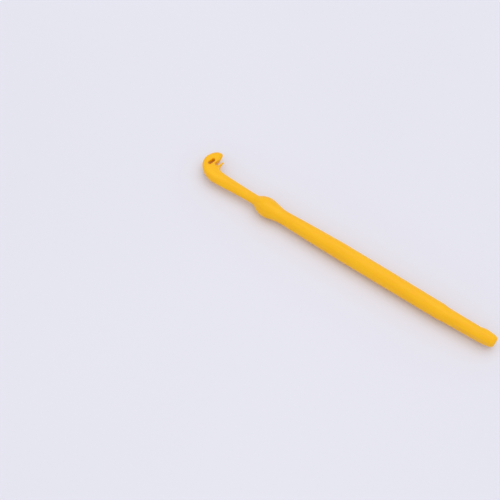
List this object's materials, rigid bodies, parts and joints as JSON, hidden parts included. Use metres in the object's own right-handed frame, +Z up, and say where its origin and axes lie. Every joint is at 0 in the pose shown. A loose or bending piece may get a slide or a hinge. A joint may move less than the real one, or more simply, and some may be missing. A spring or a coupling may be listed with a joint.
{
  "type": "loop tyer and disgorger",
  "caption": "Slim hand tool for anglers: hooked head with an eye and a slanted mouth at one end, finger collar, long handle and a blunt disgorger end.",
  "frame": {"origin": "middle of the tool's footprint, on the level that the collar rests on", "axes": "+X along the shaft from the head to the disgorger end, +Y to the side that the hook points to, +Z up, square to the hook's plane"},
  "size_m": [0.125, 0.013, 0.0074],
  "materials": {
    "yellow_plastic": "satin moulded"
  },
  "bodies": {
    "root": {"head_bend": "yellow_plastic", "hook_beak": "yellow_plastic", "line_spur": "yellow_plastic", "neck": "yellow_plastic", "finger_collar": "yellow_plastic", "handle": "yellow_plastic", "disgorger_shank": "yellow_plastic", "disgorger_tip": "yellow_plastic"}
  },
  "joints": []
}
